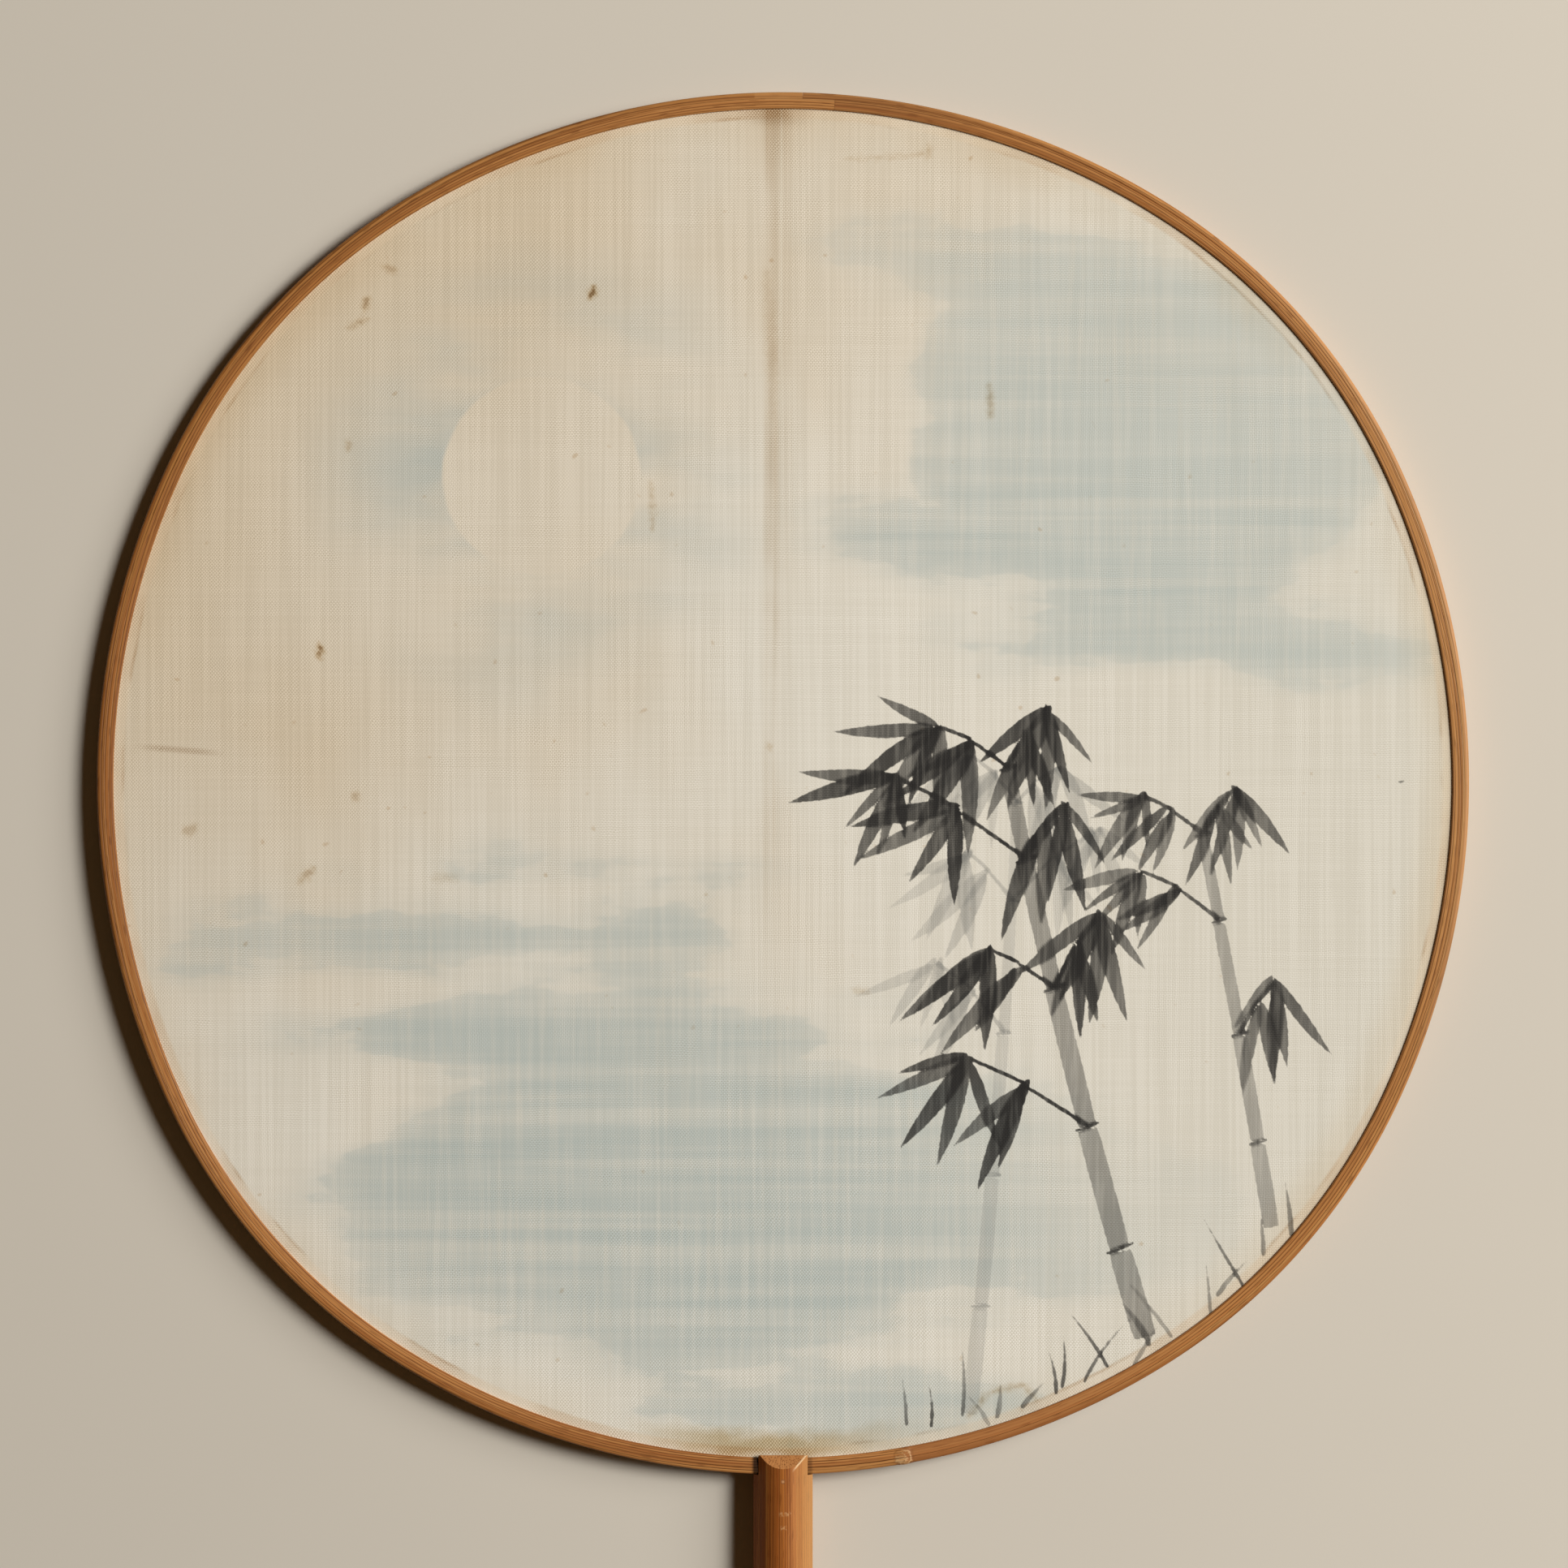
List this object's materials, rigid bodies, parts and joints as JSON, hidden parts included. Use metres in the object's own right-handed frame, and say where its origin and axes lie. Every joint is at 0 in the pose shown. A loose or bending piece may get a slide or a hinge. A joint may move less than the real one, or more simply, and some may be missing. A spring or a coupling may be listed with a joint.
{
  "type": "round silk hand fan",
  "caption": "Rigid round hand fan: silk stretched in a bent bamboo hoop over a spine, with a straight forked bamboo handle and a hanging hole.",
  "frame": {"origin": "under the middle of the fan, on the surface that the back of the handle lies on", "axes": "+Z out of the front of the silk, +Y along the fan from handle to top, +X to the right seen from the front"},
  "size_m": [0.25, 0.395, 0.0092],
  "materials": {
    "rim_bamboo": "satin brown bamboo, grain along the bent strips",
    "inner_bamboo": "plain split bamboo, unvarnished",
    "silk": "sized plain-weave silk, aged cream, with ink washes",
    "handle_bamboo": "satin red-brown bamboo, grain along the handle",
    "pin_bamboo": "pale end grain"
  },
  "bodies": {
    "root": {"rim_band": "rim_bamboo", "rim_bead": "rim_bamboo", "stretcher_hoop": "inner_bamboo", "silk_face": "silk", "spine": "inner_bamboo", "handle": "handle_bamboo", "tang_peg": "pin_bamboo"}
  },
  "joints": []
}
